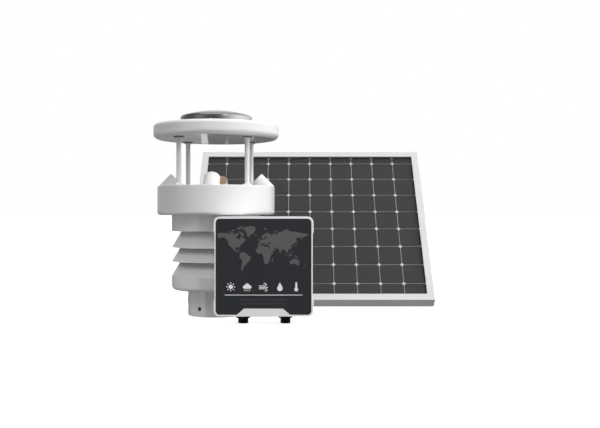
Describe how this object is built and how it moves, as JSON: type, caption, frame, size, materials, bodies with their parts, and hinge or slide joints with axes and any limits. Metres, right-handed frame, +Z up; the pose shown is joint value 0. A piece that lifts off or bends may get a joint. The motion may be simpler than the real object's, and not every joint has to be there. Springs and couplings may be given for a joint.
{
  "type": "weather station kit",
  "caption": "Weather station kit: ultrasonic sensor head with rain dome and louvers for a mast, a square controller box, and a tilted solar panel on a folding stand.",
  "frame": {"origin": "centre of the footprint on the floor that all three units stand on", "axes": "+Z up; -Y is the front, towards which the controller's printed face looks; +X to the right seen from the front"},
  "size_m": [0.3748, 0.388, 0.2615],
  "materials": {
    "spun_steel": "spun stainless steel, fine circular lines",
    "white_plastic": "glossy light moulded plastic",
    "polished_plate": "polished light plastic",
    "post_steel": "turned stainless steel",
    "grey_rubber": "matt dark grey rubber",
    "black_rubber": "matt black rubber",
    "screw_steel": "dark steel",
    "copper_face": "copper-coloured membrane",
    "circuit_board": "green solder mask",
    "piezo_brass": "thin brass disc",
    "spacer_aluminium": "turned",
    "nickel_plate": "nickel plated",
    "filter_grey": "sintered filter",
    "case_grey": "light grey moulded plastic",
    "panel_graphic": "dark printed front",
    "battery_wrap": "shrink wrap",
    "black_plastic": "black moulded plastic",
    "port_black": "black anodised",
    "gold_pin": "gold plated",
    "frame_aluminium": "satin anodised",
    "solar_glass": "tempered glass",
    "solar_cell": "dark silicon with fine fingers",
    "white_backing": "white film"
  },
  "bodies": {
    "panel": {"frame_rail_bottom": "frame_aluminium", "frame_rail_top": "frame_aluminium", "frame_rail_left": "frame_aluminium", "frame_rail_right": "frame_aluminium", "corner_keys": "frame_aluminium", "cover_glass": "solar_glass", "solar_cells": "solar_cell", "back_sheet": "white_backing", "junction_box": "black_plastic", "junction_lid": "black_plastic", "cable_gland": "black_plastic", "pivot_brackets": "frame_aluminium", "bracket_screws": "screw_steel", "pivot_bolts": "screw_steel"},
    "stand": {"stand_legs": "frame_aluminium", "stand_crossbar": "post_steel", "stand_feet": "black_rubber"},
    "knob_left": {"tilt_knob_left": "black_plastic"},
    "knob_right": {"tilt_knob_right": "black_plastic"},
    "sensor_head": {"rain_dome": "spun_steel", "dome_seal": "black_rubber", "piezo_disc": "piezo_brass", "rain_board": "circuit_board", "top_cover": "white_plastic", "north_mark": "white_plastic", "reflector_plate": "polished_plate", "reflector_screws": "screw_steel", "support_posts": "white_plastic", "post_washers": "grey_rubber", "ring_housing": "white_plastic", "transducer_horns": "white_plastic", "ring_base": "white_plastic", "transducers": "copper_face", "transducer_sleeves": "black_rubber", "main_board": "circuit_board", "neck_shell": "white_plastic", "louver_upper": "white_plastic", "louver_middle": "white_plastic", "lower_cup": "white_plastic", "louver_rods": "post_steel", "louver_spacers": "spacer_aluminium", "sensor_socket": "nickel_plate", "climate_board": "circuit_board", "climate_probe": "filter_grey", "mast_collar": "white_plastic", "collar_screws": "screw_steel"},
    "controller": {"front_cover": "case_grey", "front_panel": "panel_graphic", "case_gasket": "black_rubber", "rear_case": "case_grey", "case_screws": "screw_steel", "controller_board": "circuit_board", "battery_cells": "battery_wrap", "battery_holder": "black_plastic", "port_inserts": "black_plastic", "port_pins": "gold_pin", "port_nuts": "post_steel", "port_left": "port_black", "port_right": "port_black"},
    "reset_button": {"reset_button": "black_plastic"}
  },
  "joints": [
    {"name": "stand_fold", "type": "hinge", "parent": "panel", "child": "stand", "pos_m": [0.01645, 0.1353, 0.14729], "axis": [-1, 0, 0], "range_deg": [0, 59.5]},
    {"name": "knob_left_turn", "type": "hinge", "parent": "panel", "child": "knob_left", "pos_m": [-0.14655, 0.1353, 0.14729], "axis": [-1, 0, 0], "range_deg": [0, 180]},
    {"name": "knob_right_turn", "type": "hinge", "parent": "panel", "child": "knob_right", "pos_m": [0.17945, 0.1353, 0.14729], "axis": [1, 0, 0], "range_deg": [0, 180]},
    {"name": "sensor_lift", "type": "slide", "parent": "panel", "child": "sensor_head", "axis": [0, 0, 1], "range_m": [0, 0.15]},
    {"name": "controller_pull", "type": "slide", "parent": "panel", "child": "controller", "axis": [0, -1, 0], "range_m": [0, 0.12]},
    {"name": "reset_press", "type": "slide", "parent": "controller", "child": "reset_button", "axis": [0, 0, 1], "range_m": [0, 0.0012], "stiffness_N_per_m": 500, "springref_m": -0.001}
  ]
}
